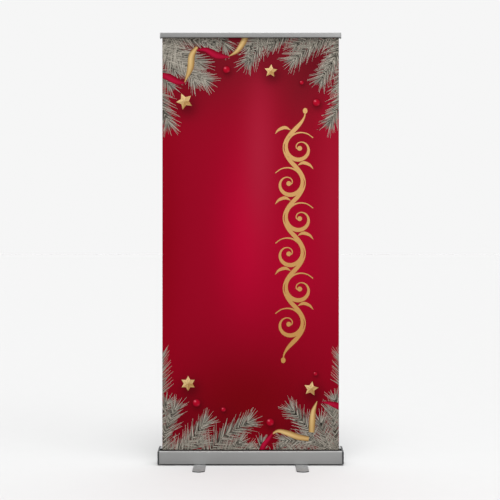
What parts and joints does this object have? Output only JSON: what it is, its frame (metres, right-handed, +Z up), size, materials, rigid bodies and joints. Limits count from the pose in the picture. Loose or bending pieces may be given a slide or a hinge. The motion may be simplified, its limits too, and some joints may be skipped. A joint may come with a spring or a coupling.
{
  "type": "roll-up banner stand",
  "caption": "Retractable banner stand: slotted roller cassette on flat swivel feet, tall printed film hung from a top rail, and a telescopic lever-clamp pole with a hook behind it.",
  "frame": {"origin": "on the floor, at the centre of the footprint, midway between the two foot pivots", "axes": "+X to the right of the printed face as its viewer sees it, +Y from the printed face to the pole behind, +Z up"},
  "size_m": [0.888, 0.336, 2.0743],
  "materials": {
    "satin_aluminium": "satin silver anodised extrusion with fine lengthwise drawing lines",
    "foot_metal": "satin grey anodised plate",
    "dark_plastic": "dark grey moulded, fine texture",
    "grey_plastic": "grey moulded, fine texture",
    "black_nylon": "black moulded nylon, satin",
    "white_nylon": "natural white nylon",
    "bright_steel": "zinc plated steel",
    "printed_film": "satin laminated polyester film with a printed decoration",
    "grey_film": "opaque grey block-out film"
  },
  "bodies": {
    "base": {"base_housing": "satin_aluminium", "end_cap_left": "dark_plastic", "end_cap_right": "dark_plastic", "cap_screw_left_1": "bright_steel", "cap_screw_left_2": "bright_steel", "cap_screw_left_3": "bright_steel", "cap_screw_right_1": "bright_steel", "cap_screw_right_2": "bright_steel", "cap_screw_right_3": "bright_steel", "pivot_washer_left": "white_nylon", "pivot_washer_right": "white_nylon", "pivot_bolt_left": "bright_steel", "pivot_bolt_right": "bright_steel", "pivot_nut_left": "bright_steel", "pivot_nut_right": "bright_steel", "spring_shaft": "bright_steel", "spring_anchor": "black_nylon", "torsion_spring": "bright_steel", "idler_pin": "bright_steel", "banner_film": "printed_film", "pole_socket": "black_nylon", "pole_tube_lower": "satin_aluminium", "pole_foot_plug": "black_nylon", "clamp_collar_lower": "black_nylon", "clamp_pin_lower": "bright_steel"},
    "left_foot": {"foot_left": "foot_metal"},
    "right_foot": {"foot_right": "foot_metal"},
    "roller": {"roller_tube": "satin_aluminium", "roller_plug_left": "black_nylon", "roller_plug_right": "black_nylon", "wound_film": "grey_film"},
    "rail": {"top_rail": "satin_aluminium", "rail_cap_left": "grey_plastic", "rail_cap_right": "grey_plastic", "hanger_strip": "white_nylon"},
    "pole_middle": {"pole_tube_middle": "satin_aluminium", "pole_guide_middle": "black_nylon", "clamp_collar_upper": "black_nylon", "clamp_pin_upper": "bright_steel"},
    "pole_upper": {"pole_tube_upper": "satin_aluminium", "pole_guide_upper": "black_nylon", "pole_hook": "black_nylon"},
    "lower_lever": {"clamp_lever_lower": "dark_plastic"},
    "upper_lever": {"clamp_lever_upper": "dark_plastic"}
  },
  "joints": [
    {"name": "foot_left_swivel", "type": "hinge", "parent": "base", "child": "left_foot", "pos_m": [-0.242, 0, 0], "axis": [0, 0, 1], "range_deg": [-90, 90]},
    {"name": "foot_right_swivel", "type": "hinge", "parent": "base", "child": "right_foot", "pos_m": [0.242, 0, 0], "axis": [0, 0, 1], "range_deg": [-90, 90]},
    {"name": "rail_slide", "type": "slide", "parent": "base", "child": "rail", "axis": [0, 0, 1], "range_m": [-1.972, 0], "deforming": ["banner_film"]},
    {"name": "roller_spin", "type": "hinge", "parent": "base", "child": "roller", "pos_m": [0, -0.02, 0.034], "axis": [1, 0, 0], "range_deg": [-6480, 0]},
    {"name": "pole_middle_slide", "type": "slide", "parent": "base", "child": "pole_middle", "axis": [0, 0, 1], "range_m": [-0.615, 0]},
    {"name": "pole_upper_slide", "type": "slide", "parent": "pole_middle", "child": "pole_upper", "axis": [0, 0, 1], "range_m": [-0.615, 0]},
    {"name": "clamp_lower_lever", "type": "hinge", "parent": "base", "child": "lower_lever", "pos_m": [-0.01295, 0.03686, 0.733], "axis": [0, 0, 1], "range_deg": [0, 100]},
    {"name": "clamp_upper_lever", "type": "hinge", "parent": "pole_middle", "child": "upper_lever", "pos_m": [-0.01187, 0.03596, 1.389], "axis": [0, 0, 1], "range_deg": [0, 100]}
  ],
  "couplings": [
    {"joint": "roller_spin", "follows": "rail_slide", "rad_per_m": 57.143}
  ]
}
